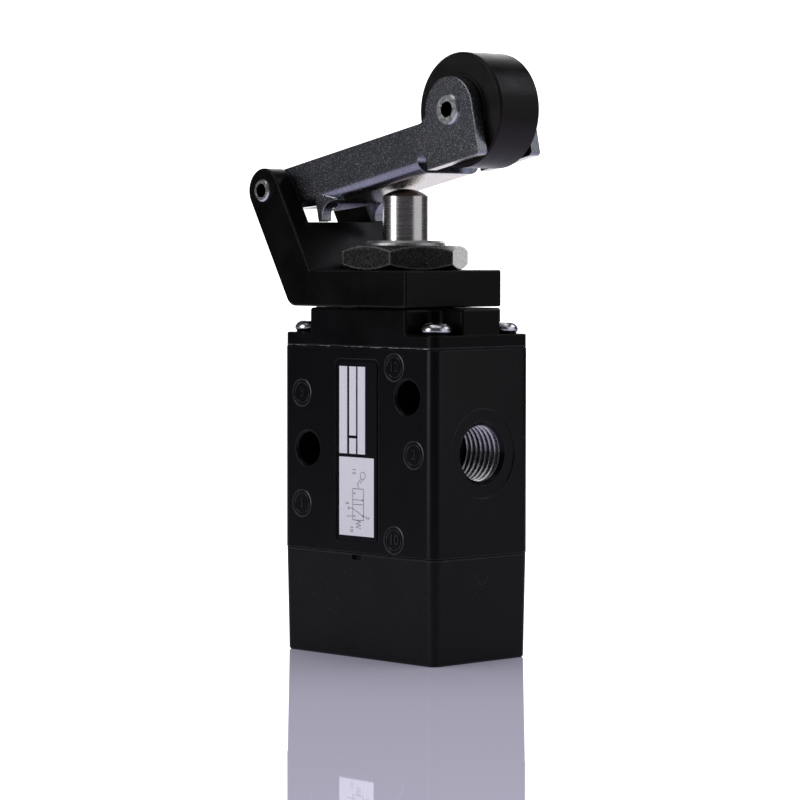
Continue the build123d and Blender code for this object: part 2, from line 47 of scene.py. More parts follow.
# Bottom cap
# The foot of the valve is a deep cap of black glass-filled nylon that holds the return spring.
# It is injection moulded, so it is satin with a fine grain and a few pale specks of filler.


def new_finish(name, colour, roughness, metallic=0.0, specular=0.5):
    """A material named after a finish, with its tree and its shader."""
    finish = bpy.data.materials.new(name)
    finish.use_nodes = True
    tree = finish.node_tree
    shader = tree.nodes["Principled BSDF"]
    shader.inputs["Base Color"].default_value = (*colour, 1)
    shader.inputs["Roughness"].default_value = roughness
    shader.inputs["Metallic"].default_value = metallic
    shader.inputs["Specular IOR Level"].default_value = specular
    return finish, tree, shader


def mottle(tree, size, low=0.4, high=0.6, stretch=(1, 1, 1), detail=3.0):
    """Soft patches of about one size in metres, from 0 to 1 between the two noise levels."""
    coords = tree.nodes.new("ShaderNodeTexCoord")
    place = tree.nodes.new("ShaderNodeMapping")
    place.inputs["Scale"].default_value = stretch
    noise = tree.nodes.new("ShaderNodeTexNoise")
    noise.inputs["Scale"].default_value = 1 / size
    noise.inputs["Detail"].default_value = detail
    spread = tree.nodes.new("ShaderNodeMapRange")
    spread.inputs["From Min"].default_value = low
    spread.inputs["From Max"].default_value = high
    tree.links.new(coords.outputs["Object"], place.inputs["Vector"])
    tree.links.new(place.outputs["Vector"], noise.inputs["Vector"])
    tree.links.new(noise.outputs["Fac"], spread.inputs["Value"])
    return spread.outputs["Result"]


def edge_glint(tree, width, low=0.02, high=0.2):
    """From 0 on the flats to 1 at an outer or inner edge, within this width in metres."""
    rounded = tree.nodes.new("ShaderNodeBevel")
    rounded.samples = 4
    rounded.inputs["Radius"].default_value = width
    surface = tree.nodes.new("ShaderNodeNewGeometry")
    match = tree.nodes.new("ShaderNodeVectorMath")
    match.operation = "DOT_PRODUCT"
    spread = tree.nodes.new("ShaderNodeMapRange")
    spread.inputs["From Min"].default_value = 1 - low
    spread.inputs["From Max"].default_value = 1 - high
    tree.links.new(rounded.outputs["Normal"], match.inputs[0])
    tree.links.new(surface.outputs["Normal"], match.inputs[1])
    tree.links.new(match.outputs["Value"], spread.inputs["Value"])
    return spread.outputs["Result"]


def product(tree, first, second):
    """Two factors multiplied."""
    times = tree.nodes.new("ShaderNodeMath")
    times.operation = "MULTIPLY"
    for socket, value in zip(times.inputs, (first, second)):
        if isinstance(value, float):
            socket.default_value = value
        else:
            tree.links.new(value, socket)
    return times.outputs["Value"]


def shade_between(tree, factor, first, second):
    """A colour that goes from the first to the second as the factor rises."""
    mix = tree.nodes.new("ShaderNodeMix")
    mix.data_type = "RGBA"
    tree.links.new(factor, mix.inputs["Factor"])
    for socket, value in ((mix.inputs[6], first), (mix.inputs[7], second)):
        if isinstance(value, tuple):
            socket.default_value = (*value, 1)
        else:
            tree.links.new(value, socket)
    return mix.outputs[2]


def level_between(tree, factor, first, second):
    """A number that goes from the first to the second as the factor rises."""
    spread = tree.nodes.new("ShaderNodeMapRange")
    spread.inputs["To Min"].default_value = first
    spread.inputs["To Max"].default_value = second
    tree.links.new(factor, spread.inputs["Value"])
    return spread.outputs["Result"]


def relief(tree, shader, height, depth, edge=0.0):
    """Fine relief of that depth in metres, with the piece's edges softened over that width."""
    bump = tree.nodes.new("ShaderNodeBump")
    bump.inputs["Distance"].default_value = depth
    tree.links.new(height, bump.inputs["Height"])
    if edge:
        rounded = tree.nodes.new("ShaderNodeBevel")
        rounded.samples = 4
        rounded.inputs["Radius"].default_value = edge
        tree.links.new(rounded.outputs["Normal"], bump.inputs["Normal"])
    tree.links.new(bump.outputs["Normal"], shader.inputs["Normal"])


def larger(tree, first, second):
    """The greater of two factors."""
    total = tree.nodes.new("ShaderNodeMath")
    total.operation = "MAXIMUM"
    tree.links.new(first, total.inputs[0])
    tree.links.new(second, total.inputs[1])
    return total.outputs["Value"]


def edge_lines(tree, tone, line, width, patch=0.004, low=0.3, high=0.6):
    """The tone, with its edges turned to a paler line of this width, more in some stretches than others: partly wear,
    partly a painted highlight where the edges catch light.
    """
    wear_and_edge_highlight = product(tree, edge_glint(tree, width), level_between(tree, mottle(tree, patch, low, high), 0.35, 1.0))
    return shade_between(tree, wear_and_edge_highlight, tone, line)


def dress(finish, *nodes):
    """Gives these CAD pieces one finish."""
    for node in nodes:
        parts[node].data.materials.clear()
        parts[node].data.materials.append(finish)


moulding, tree, shader = new_finish("black_moulding", (0.006, 0.006, 0.007), 0.40, specular=0.17)
specks = mottle(tree, 0.00045, 0.72, 0.78, detail=1.0)
cloud = mottle(tree, 0.009, 0.35, 0.65)
tone = shade_between(tree, cloud, (0.0030, 0.0027, 0.0034), (0.0050, 0.0044, 0.0056))
tone = shade_between(tree, specks, tone, (0.03, 0.028, 0.032))
# Pale edge lines on the foot: partly wear and partly painted highlight.
tree.links.new(edge_lines(tree, tone, (0.075, 0.07, 0.075), 0.00028), shader.inputs["Base Color"])
tree.links.new(level_between(tree, cloud, 0.38, 0.48), shader.inputs["Roughness"])
relief(tree, shader, mottle(tree, 0.00022, 0.2, 0.8), 0.000012, edge=0.00025)
dress(moulding, "bottom_cap")


def new_piece(name, mesh, finish, body):
    """Turns a mesh into a piece of its own that rides a body of the valve."""
    bmesh.ops.recalc_face_normals(mesh, faces=mesh.faces[:])
    piece = bpy.data.objects.new(name, bpy.data.meshes.new(name))
    mesh.to_mesh(piece.data)
    mesh.free()
    piece.data.materials.append(finish)
    bpy.context.scene.collection.objects.link(piece)
    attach(piece, body)
    return piece


def lathe(mesh, profile, place, segments=32):
    """Adds a closed ring or disc: a profile of (radius, reach) pairs turned about an axis, in millimetres."""
    section = [mesh.verts.new(place(radius, 0, reach) * MM) for radius, reach in profile]
    outline = [mesh.edges.new(pair) for pair in zip(section, section[1:] + section[:1])]
    centre, tip = place(0, 0, 0) * MM, place(0, 0, 1) * MM
    bmesh.ops.spin(
        mesh, geom=section + outline, cent=centre, axis=(tip - centre).normalized(),
        angle=2 * math.pi, steps=segments, use_merge=True,
    )


gate_mark = bmesh.new()
lathe(
    gate_mark,
    [(1.35, -0.1), (1.35, 0.04), (1.5, 0.07), (1.65, 0.04), (1.65, -0.1)],
    lambda u, v, reach: Vector((22.78 + reach, -0.2 + u, 17.6 + v)),
)
new_piece("gate_mark", gate_mark, moulding, "housing")

# Valve body
# The middle block is an aluminium casting, black anodised, with its three ports tapped afterwards.
# The threads, their mouths and the seal bore are bare bright metal, and its rims are pale, partly from wear and partly
# as a painted highlight.

PORT_LEVELS = {-1: (31.325, 54.625), 1: (42.975,)}
PORT_BARE_RADIUS = 6.75


def round_an_axis(tree, across, centre, radius):
    """1 within this radius of a straight axis and 0 outside, from the two directions across it."""
    coords = tree.nodes.new("ShaderNodeTexCoord")
    offset = tree.nodes.new("ShaderNodeVectorMath")
    offset.operation = "MULTIPLY_ADD"
    offset.inputs[1].default_value = across
    offset.inputs[2].default_value = [-place * MM for place in centre]
    length = tree.nodes.new("ShaderNodeVectorMath")
    length.operation = "LENGTH"
    inside = tree.nodes.new("ShaderNodeMath")
    inside.operation = "LESS_THAN"
    inside.inputs[1].default_value = radius * MM
    tree.links.new(coords.outputs["Object"], offset.inputs[0])
    tree.links.new(offset.outputs[0], length.inputs[0])
    tree.links.new(length.outputs["Value"], inside.inputs[0])
    return inside.outputs[0]


def along(tree, axis, start, end):
    """From 0 to 1 between two places along an axis, in millimetres."""
    coords = tree.nodes.new("ShaderNodeTexCoord")
    split = tree.nodes.new("ShaderNodeSeparateXYZ")
    spread = tree.nodes.new("ShaderNodeMapRange")
    spread.inputs["From Min"].default_value = start * MM
    spread.inputs["From Max"].default_value = end * MM
    tree.links.new(coords.outputs["Object"], split.inputs[0])
    tree.links.new(split.outputs[axis], spread.inputs["Value"])
    return spread.outputs["Result"]


casting, tree, shader = new_finish("black_anodised_casting", (0.003, 0.003, 0.0035), 0.27, specular=0.16)
cloud = mottle(tree, 0.012, 0.35, 0.65)
tone = shade_between(tree, cloud, (0.0019, 0.0017, 0.0023), (0.0031, 0.0028, 0.0037))
# Pale edge lines on the casting: partly worn anodising and partly painted highlight.
tone = edge_lines(tree, tone, (0.065, 0.062, 0.066), 0.00025)
round_port = round_an_axis(tree, (0, 1, 1), (0, 0, PORT_LEVELS[1][0]), PORT_BARE_RADIUS)
bare = product(tree, round_port, along(tree, "X", 11.9, 12.0))
bare = product(tree, bare, along(tree, "X", 21.95, 21.85))
for level in PORT_LEVELS[-1]:
    round_port = round_an_axis(tree, (0, 1, 1), (0, 0, level), PORT_BARE_RADIUS)
    other = product(tree, round_port, along(tree, "X", -11.9, -12.0))
    bare = larger(tree, bare, product(tree, other, along(tree, "X", -21.95, -21.85)))
metal = shade_between(tree, mottle(tree, 0.0006, 0.3, 0.7), (0.55, 0.55, 0.57), (0.74, 0.74, 0.76))
tree.links.new(shade_between(tree, bare, tone, metal), shader.inputs["Base Color"])
tree.links.new(bare, shader.inputs["Metallic"])
tree.links.new(level_between(tree, bare, 0.27, 0.27), shader.inputs["Roughness"])
relief(tree, shader, mottle(tree, 0.0003, 0.2, 0.8), 0.00001, edge=0.0003)
dress(casting, "valve_body")

side_pip = bmesh.new()
lathe(
    side_pip,
    [(0.02, -0.1), (0.02, 0.16), (0.22, 0.13), (0.36, 0.0), (0.36, -0.1)],
    lambda u, v, reach: Vector((23 + reach, -8.3 + u, 39.0 + v)),
    segments=16,
)
new_piece("side_pip", side_pip, casting, "housing")

# A thin ragged flash along the top seam, coloured pale: partly pale flash and partly a painted highlight of the seam's
# edge.
pale_flash_and_highlight, tree, shader = new_finish("pale_flash_and_highlight", (0.2, 0.2, 0.2), 0.5)
ragged = mottle(tree, 0.0011, 0.4, 0.62, stretch=(1, 1, 0.2), detail=4.0)
tree.links.new(shade_between(tree, ragged, (0.02, 0.019, 0.02), (0.34, 0.33, 0.33)), shader.inputs["Base Color"])
relief(tree, shader, ragged, 0.00003)


def flash_strip(mesh, start, end, level):
    """Adds a closed ragged strip of flash between two stations along the label side, in millimetres."""
    size = Matrix.Diagonal((end - start, 0.13, 0.2, 1))
    bar = bmesh.ops.create_cube(
        mesh, size=1, matrix=Matrix.Translation(((start + end) / 2, -13.965, level)) @ size
    )["verts"]
    long_edges = {edge for vert in bar for edge in vert.link_edges if edge.calc_length() > 1}
    bmesh.ops.subdivide_edges(mesh, edges=list(long_edges), cuts=89, use_grid_fill=True)
    for vert in [vert for vert in mesh.verts if start - 0.01 < vert.co.x < end + 0.01]:
        station = vert.co.x
        wave = math.sin(1.3 * station) + 0.6 * math.sin(3.1 * station + 1) + 0.4 * math.sin(7.7 * station)
        half = 0.045 + 0.03 * max(wave, -0.6)
        vert.co.z = level + 0.03 * math.sin(0.9 * station) + (half if vert.co.z > level else -half)


seam_flash = bmesh.new()
for start, end in ((-21.6, -14.2), (-11.5, -8.2), (-3.9, 21.6)):
    flash_strip(seam_flash, start, end, 64.62)
bmesh.ops.scale(seam_flash, vec=(MM, MM, MM), verts=seam_flash.verts[:])
new_piece("seam_flash", seam_flash, pale_flash_and_highlight, "housing")

# Seal stack and spring
# Inside the bore lie rubber lip seals, pale moulded cages between them and two end rings, with a
# bright anodised spool through them all, and a spring of plated wire below on its seat.

rubber, tree, shader = new_finish("black_rubber", (0.012, 0.012, 0.012), 0.7, specular=0.3)
tree.links.new(
    shade_between(tree, mottle(tree, 0.0008), (0.009, 0.009, 0.009), (0.02, 0.02, 0.02)),
    shader.inputs["Base Color"],
)
relief(tree, shader, mottle(tree, 0.0002), 0.00001)
dress(rubber, "spool_seals", "bottom_gasket", "top_gasket", "plunger_wiper", "guide_seal")

cage_nylon, tree, shader = new_finish("natural_nylon", (0.55, 0.52, 0.45), 0.45)
tree.links.new(
    shade_between(tree, mottle(tree, 0.002), (0.50, 0.47, 0.40), (0.62, 0.59, 0.52)),
    shader.inputs["Base Color"],
)
relief(tree, shader, mottle(tree, 0.0003), 0.00001)
dress(cage_nylon, "port_cages", "stack_end_rings", "spring_seat")

spool_metal, tree, shader = new_finish("turned_alloy", (0.7, 0.7, 0.72), 0.25, metallic=1.0)
turning = mottle(tree, 0.0001, 0.3, 0.7, stretch=(0.02, 0.02, 1))
tree.links.new(level_between(tree, turning, 0.18, 0.32), shader.inputs["Roughness"])
relief(tree, shader, turning, 0.000004)
dress(spool_metal, "spool")

spring_wire, tree, shader = new_finish("plated_wire", (0.5, 0.5, 0.52), 0.3, metallic=1.0)
drawn = mottle(tree, 0.0004, 0.3, 0.7)
tree.links.new(level_between(tree, drawn, 0.22, 0.4), shader.inputs["Roughness"])
relief(tree, shader, drawn, 0.000006)
dress(spring_wire, "return_spring")

COIL_RADIUS, WIRE_RADIUS, COIL_TURNS, COIL_RISE, COIL_START = 4.3, 0.55, 6, 2.2, 4.1
STEPS_PER_TURN = 40
coil = bmesh.new()
wire_end = Matrix.Translation(Vector((COIL_RADIUS, 0, COIL_START)) * MM) @ Matrix.Rotation(math.radians(90), 4, "X")
bmesh.ops.create_circle(coil, cap_ends=True, radius=WIRE_RADIUS * MM, segments=12, matrix=wire_end)
bmesh.ops.spin(
    coil, geom=coil.verts[:] + coil.edges[:] + coil.faces[:], cent=(0, 0, 0), axis=(0, 0, 1),
    dvec=(0, 0, COIL_RISE * MM / STEPS_PER_TURN), angle=2 * math.pi * COIL_TURNS,
    steps=COIL_TURNS * STEPS_PER_TURN,
)
spring_coil = new_piece("spring_coil", coil, spring_wire, "housing")
for face in spring_coil.data.polygons:
    face.use_smooth = True
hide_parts("return_spring")
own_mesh(spring_coil)

# Top cap
# The cap over the seal stack is moulded from the same nylon as the foot, in a polished tool, so it
# is the darkest and smoothest of the mouldings. All its edges carry pale lines, partly wear and partly painted
# highlight.

top_moulding, tree, shader = new_finish("polished_moulding", (0.002, 0.002, 0.002), 0.32, specular=0.09)
cloud = mottle(tree, 0.008, 0.35, 0.65)
tone = shade_between(tree, cloud, (0.0012, 0.0011, 0.0014), (0.0021, 0.0019, 0.0024))
# Pale edge lines on the cap: partly wear and partly painted highlight.
tree.links.new(edge_lines(tree, tone, (0.07, 0.066, 0.07), 0.00024), shader.inputs["Base Color"])
tree.links.new(level_between(tree, cloud, 0.29, 0.37), shader.inputs["Roughness"])
relief(tree, shader, mottle(tree, 0.00022, 0.2, 0.8), 0.000008, edge=0.00025)
dress(top_moulding, "top_cap")

# Screws
# Pan head machine screws with a cross recess, zinc plated with a bright blue-white passivate.

zinc, tree, shader = new_finish("bright_zinc", (0.66, 0.67, 0.71), 0.17, metallic=1.0)
dull = mottle(tree, 0.0009, 0.35, 0.7)
tree.links.new(shade_between(tree, dull, (0.72, 0.73, 0.77), (0.58, 0.59, 0.63)), shader.inputs["Base Color"])
tree.links.new(level_between(tree, dull, 0.13, 0.23), shader.inputs["Roughness"])
relief(tree, shader, mottle(tree, 0.0003), 0.000008, edge=0.0002)
dress(zinc, "upper_cap_screws", "lower_cap_screws")

SCREW_PLACES = [(sx * 19.05, sy * 9.7) for sx in (-1, 1) for sy in (-1, 1)]
SCREW_SEAT = 67.3
HEAD_PROFILE = (
    (0.02, 2.5), (1.2, 2.48), (1.9, 2.4), (2.45, 2.2), (2.85, 1.85), (3.12, 1.4), (3.22, 1.05), (3.2, 0.72),
    (3.05, 0.5), (2.85, 0.42), (2.8, 0.0), (1.75, 0.0), (1.75, -5.0), (0.02, -5.0),
)


def cross_cutter(mesh, x, y, turn):
    """Adds one wing of a cross recess, wide at the top and narrow at its foot."""
    wing = bmesh.ops.create_cube(mesh, size=1)["verts"]
    foot = [vert for vert in wing if vert.co.z < 0]
    mouth = [vert for vert in wing if vert.co.z > 0]
    for ring, length, width, height in ((foot, 1.0, 0.35, 0.9), (mouth, 2.75, 0.78, 2.6)):
        shape = Matrix.Translation((0, 0, height)) @ Matrix.Diagonal((2 * length, 2 * width, 0, 1))
        bmesh.ops.transform(mesh, matrix=shape, verts=ring)
    place = Matrix.Translation((x, y, SCREW_SEAT)) @ Matrix.Rotation(turn, 4, "Z")
    bmesh.ops.transform(mesh, matrix=Matrix.Scale(MM, 4) @ place, verts=wing)


heads = bmesh.new()
for x, y in SCREW_PLACES:
    lathe(heads, HEAD_PROFILE, lambda u, v, reach, x=x, y=y: Vector((x + u, y + v, SCREW_SEAT + reach)), segments=48)
cap_screw_set = new_piece("cap_screw_set", heads, zinc, "housing")
for turn in (48, 138):
    cutter_mesh = bmesh.new()
    for x, y in SCREW_PLACES:
        cross_cutter(cutter_mesh, x, y, math.radians(turn))
    bmesh.ops.recalc_face_normals(cutter_mesh, faces=cutter_mesh.faces[:])
    cutter = bpy.data.objects.new("cutter", bpy.data.meshes.new("cutter"))
    cutter_mesh.to_mesh(cutter.data)
    cutter_mesh.free()
    bpy.context.scene.collection.objects.link(cutter)
    recess = cap_screw_set.modifiers.new("recess", "BOOLEAN")
    recess.object = cutter
    recess.solver = "EXACT"
    bpy.context.view_layer.update()
    shaped = bpy.data.meshes.new_from_object(cap_screw_set.evaluated_get(bpy.context.evaluated_depsgraph_get()))
    cap_screw_set.modifiers.clear()
    cap_screw_set.data = shaped
    bpy.data.objects.remove(cutter)
for face in cap_screw_set.data.polygons:
    face.use_smooth = True
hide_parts("upper_cap_screws")

# Label
# A dark film is stuck in the recess of the label face. It is printed with three white columns, left
# blank here, and a white field with the symbol of a 3/2 valve, drawn with its roller at the top.

label_film, tree, shader = new_finish("black_label_film", (0.002, 0.0018, 0.0034), 0.34, specular=0.15)
print_grain = mottle(tree, 0.0005)
tone = shade_between(tree, print_grain, (0.0014, 0.0013, 0.0026), (0.0026, 0.0024, 0.0044))
tree.links.new(tone, shader.inputs["Base Color"])
relief(tree, shader, mottle(tree, 0.001), 0.000006)
dress(label_film, "label_plate")

label_white, tree, shader = new_finish("label_white", (0.92, 0.91, 0.97), 0.4, specular=0.3)
tone = shade_between(tree, mottle(tree, 0.0006, 0.3, 0.7), (0.90, 0.885, 0.955), (0.96, 0.945, 0.99))
tree.links.new(tone, shader.inputs["Base Color"])
relief(tree, shader, mottle(tree, 0.0004), 0.000004)

label_ink, tree, shader = new_finish("label_ink", (0.06, 0.06, 0.07), 0.5)
tone = shade_between(tree, mottle(tree, 0.0003, 0.3, 0.7), (0.04, 0.04, 0.05), (0.16, 0.16, 0.17))
tree.links.new(tone, shader.inputs["Base Color"])
relief(tree, shader, mottle(tree, 0.0003), 0.000003)

PRINT_FRONT, INK_FRONT, FILM_FRONT = -13.875, -13.89, -13.852
PRINT_BOXES = (
    (-5.39, -3.01, 42.4, 60.5), (-2.38, -0.31, 46.2, 60.5), (-2.38, -0.31, 42.4, 45.6),
    (0.15, 2.40, 42.4, 60.5), (-5.40, 5.04, 25.4, 41.7),
)


def flat_prism(mesh, outline, front, back):
    """Adds a closed prism that faces the label side: an outline of (x, z) points between two depths."""
    face = mesh.faces.new([mesh.verts.new(Vector((x, front, z)) * MM) for x, z in outline])
    grown = bmesh.ops.extrude_face_region(mesh, geom=[face])["geom"]
    far = [item for item in grown if isinstance(item, bmesh.types.BMVert)]
    bmesh.ops.translate(mesh, vec=(0, (back - front) * MM, 0), verts=far)


label_print = bmesh.new()
for left, right, low, high in PRINT_BOXES:
    flat_prism(label_print, ((left, low), (right, low), (right, high), (left, high)), PRINT_FRONT, FILM_FRONT)
new_piece("label_print", label_print, label_white, "housing")


def ink_line(mesh, points, width=0.13):
    """Adds a drawn line along (x, z) points."""
    for start, end in zip(points, points[1:]):
        start, end = Vector(start), Vector(end)
        side = (end - start).orthogonal().normalized() * width / 2
        corners = (start - side, end - side, end + side, start + side)
        flat_prism(mesh, [tuple(corner) for corner in corners], INK_FRONT, PRINT_FRONT - 0.001)


def lettering(mesh, words, x, z, size, front, back, turn=0.0):
    """Adds words as closed solid letters that face the label side."""
    curve = bpy.data.curves.new("lettering", "FONT")
    curve.body = words
    curve.size = size * MM
    curve.align_x, curve.align_y = "CENTER", "CENTER"
    curve.extrude = (back - front) / 2 * MM
    curve.resolution_u = 3
    carrier = bpy.data.objects.new("lettering", curve)
    bpy.context.scene.collection.objects.link(carrier)
    bpy.context.view_layer.update()
    form = bpy.data.meshes.new_from_object(carrier.evaluated_get(bpy.context.evaluated_depsgraph_get()))
    upright = Matrix.Rotation(math.radians(90), 4, "X") @ Matrix.Rotation(math.radians(turn), 4, "Z")
    form.transform(Matrix.Translation(Vector((x, (front + back) / 2, z)) * MM) @ upright)
    mesh.from_mesh(form)
    bmesh.ops.remove_doubles(mesh, verts=mesh.verts[:], dist=1e-7)
    bpy.data.objects.remove(carrier)
    bpy.data.curves.remove(curve)
    bpy.data.meshes.remove(form)


symbol = bmesh.new()
for box in (
    ((-1.27, 28.7), (1.99, 28.7), (1.99, 35.2), (-1.27, 35.2), (-1.27, 28.7)), ((-1.27, 31.95), (1.99, 31.95)),
):
    ink_line(symbol, box)
roller_ring = [(1.75 + 0.75 * math.cos(a), 38.0 + 0.75 * math.sin(a)) for a in [math.pi * k / 8 for k in range(17)]]
for drawn in (
    roller_ring, ((1.3, 37.4), (0.5, 36.6), (0.1, 36.1), (0.5, 35.6), (0.5, 35.2)), ((1.8, 37.2), (0.9, 36.3)),
    ((-1.27, 34.2), (-0.6, 34.2)), ((-0.6, 33.9), (-0.6, 34.5)), ((-1.27, 32.9), (1.99, 32.9)),
    ((1.5, 33.1), (1.95, 32.9), (1.5, 32.7)), ((-1.27, 31.1), (1.99, 29.5)), ((1.65, 29.95), (1.95, 29.53), (1.5, 29.5)),
    ((-1.27, 29.5), (-0.6, 29.5)), ((-0.6, 29.2), (-0.6, 29.8)), ((-1.27, 31.1), (-2.3, 31.1)),
    ((-1.27, 29.5), (-2.0, 29.5)), ((1.99, 29.5), (2.6, 29.5)),
    ((-2.3, 31.1), (-2.7, 30.8), (-2.7, 31.4), (-2.3, 31.1)),
    ((-0.3, 28.7), (1.2, 28.35), (-0.3, 28.0), (1.2, 27.65), (-0.3, 27.3), (1.2, 26.95)),
):
    ink_line(symbol, drawn, 0.11)
for words, x, z in (("12", -0.9, 38.8), ("3", -3.0, 32.1), ("1", -2.6, 29.4), ("2", 3.2, 29.3), ("10", -1.6, 26.8)):
    lettering(symbol, words, x, z, 1.35, INK_FRONT, PRINT_FRONT - 0.001, turn=-90)
new_piece("valve_symbol", symbol, label_ink, "housing")

# Port numbers
# Each port and pilot end has its number cast upright in a sunk roundel, with a fine rib round it.

ROUNDELS = (("12", 11.1, 60.675), ("3", -16.9, 54.625), ("2", 16.9, 42.975), ("1", -16.9, 31.325), ("10", 11.1, 25.275))
cast_marks, tree, shader = new_finish("cast_marks", (0.003, 0.003, 0.0035), 0.2, specular=0.5)
polish = mottle(tree, 0.0015, 0.35, 0.65)
tone = shade_between(tree, polish, (0.0022, 0.0020, 0.0026), (0.0036, 0.0033, 0.0042))
# Pale lines round the roundels' edges: partly wear and partly painted highlight.
tree.links.new(edge_lines(tree, tone, (0.08, 0.076, 0.08), 0.00016, patch=0.0025), shader.inputs["Base Color"])
tree.links.new(level_between(tree, polish, 0.17, 0.26), shader.inputs["Roughness"])
relief(tree, shader, mottle(tree, 0.0003, 0.2, 0.8), 0.000006)

port_numbers = bmesh.new()
for words, x, z in ROUNDELS:
    def face_on(u, v, reach, x=x, z=z):
        """A place on the label face round this roundel's axis."""
        return Vector((x + u, -14 - reach, z + v))

    lathe(port_numbers, [(1.98, -0.2), (2.0, -0.1), (2.08, 0.0), (2.16, 0.0), (2.24, -0.1), (2.26, -0.2)], face_on, 48)
    lathe(port_numbers, [(2.64, -0.2), (2.66, -0.02), (2.72, 0.05), (2.82, 0.06), (2.98, 0.0), (2.98, -0.2)], face_on, 48)
    lettering(port_numbers, words, x, z, 3.0, -14.0, -13.84)
new_piece("port_numbers", port_numbers, cast_marks, "housing")

# Plunger and guide
# The plunger is a turned and ground steel pin with a domed tip. It slides in a threaded guide.

turned_steel, tree, shader = new_finish("turned_steel", (0.56, 0.54, 0.55), 0.2, metallic=1.0)
turning = mottle(tree, 0.00012, 0.25, 0.75, stretch=(0.02, 0.02, 1))
shaft = shade_between(tree, turning, (0.50, 0.48, 0.49), (0.62, 0.60, 0.61))
dome = along(tree, "Z", 95.7, 95.85)
tree.links.new(shade_between(tree, dome, shaft, (0.30, 0.265, 0.25)), shader.inputs["Base Color"])
tree.links.new(level_between(tree, turning, 0.17, 0.30), shader.inputs["Roughness"])
relief(tree, shader, turning, 0.000003)
dress(turned_steel, "plunger")

guide_steel, tree, shader = new_finish("guide_steel", (0.42, 0.42, 0.43), 0.38, metallic=1.0)
worn = mottle(tree, 0.0012, 0.35, 0.65)
tree.links.new(shade_between(tree, worn, (0.46, 0.46, 0.47), (0.62, 0.62, 0.63)), shader.inputs["Base Color"])
tree.links.new(level_between(tree, worn, 0.3, 0.45), shader.inputs["Roughness"])
relief(tree, shader, mottle(tree, 0.0002), 0.00001)
dress(guide_steel, "plunger_guide")

# Bracket and nut
# The bracket is a zinc casting, painted satin black. Its nut is thin, oxide blacked and oily.

bracket_paint, tree, shader = new_finish("satin_black_paint", (0.002, 0.0017, 0.0016), 0.3, specular=0.12)
cloud = mottle(tree, 0.007, 0.35, 0.65)
tone = shade_between(tree, cloud, (0.0014, 0.0011, 0.0010), (0.0023, 0.0018, 0.0017))
# Pale edge lines on the bracket: partly worn paint and partly painted highlight.
tree.links.new(edge_lines(tree, tone, (0.11, 0.105, 0.11), 0.00026), shader.inputs["Base Color"])
tree.links.new(level_between(tree, cloud, 0.27, 0.35), shader.inputs["Roughness"])
relief(tree, shader, mottle(tree, 0.0005, 0.2, 0.8), 0.000012, edge=0.0003)
dress(bracket_paint, "lever_bracket")

oxide, tree, shader = new_finish("oxide_black", (0.012, 0.011, 0.009), 0.22, specular=0.45)
pits = mottle(tree, 0.0005, 0.35, 0.65, detail=5.0)
# Pale strips on the nut's corners and chamfer edges: partly rubbed oxide and partly painted highlight.
rub_and_painted_highlight = edge_glint(tree, 0.0006, 0.03, 0.16)
tone = shade_between(tree, pits, (0.0045, 0.0042, 0.0034), (0.016, 0.015, 0.0125))
specks = mottle(tree, 0.00022, 0.66, 0.76, detail=1.0)
tone = shade_between(tree, specks, tone, (0.15, 0.145, 0.135))
tree.links.new(shade_between(tree, rub_and_painted_highlight, tone, (0.30, 0.285, 0.28)), shader.inputs["Base Color"])
tree.links.new(level_between(tree, pits, 0.2, 0.3), shader.inputs["Roughness"])
relief(tree, shader, pits, 0.000012, edge=0.0002)
dress(oxide, "bracket_nut")

# Lever and pins
# The lever is pressed from 2.5 mm steel sheet and zinc plated, with a dull bluish passivate.

def faces_down(tree, start, end):
    """From 0 to 1 as a piece's own surface turns to face down, by the height of its normal."""
    coords = tree.nodes.new("ShaderNodeTexCoord")
    split = tree.nodes.new("ShaderNodeSeparateXYZ")
    spread = tree.nodes.new("ShaderNodeMapRange")
    spread.inputs["From Min"].default_value = start
    spread.inputs["From Max"].default_value = end
    tree.links.new(coords.outputs["Normal"], split.inputs[0])
    tree.links.new(split.outputs["Z"], spread.inputs["Value"])
    return spread.outputs["Result"]


lever_zinc, tree, shader = new_finish("dull_blue_zinc", (0.24, 0.26, 0.31), 0.2, metallic=1.0)
speckle = mottle(tree, 0.00013, 0.63, 0.72, detail=2.0)
tint = mottle(tree, 0.011, 0.35, 0.65)
tone = shade_between(tree, tint, (0.27, 0.285, 0.335), (0.35, 0.36, 0.40))
tone = shade_between(tree, speckle, tone, (0.70, 0.73, 0.80))
# Faces turned down are painted ivory: a painted reflection of the bright table below.
painted_table_reflection = faces_down(tree, -0.80, -0.95)
tone = shade_between(tree, painted_table_reflection, tone, (0.60, 0.565, 0.49))
# Pale lines along the lever's edges and bends: partly wear and partly painted highlight.
tree.links.new(edge_lines(tree, tone, (0.62, 0.63, 0.66), 0.00028), shader.inputs["Base Color"])
tree.links.new(level_between(tree, speckle, 0.2, 0.42), shader.inputs["Roughness"])
relief(tree, shader, mottle(tree, 0.00018, 0.3, 0.7), 0.000007, edge=0.0003)
dress(lever_zinc, "roller_lever", "pivot_spacer")

pin_steel, tree, shader = new_finish("plated_pin_steel", (0.55, 0.56, 0.58), 0.3, metallic=1.0)
worn = mottle(tree, 0.0008, 0.35, 0.65)
tree.links.new(shade_between(tree, worn, (0.60, 0.61, 0.63), (0.70, 0.71, 0.73)), shader.inputs["Base Color"])
ring = shader.inputs["Base Color"].links[0].from_socket
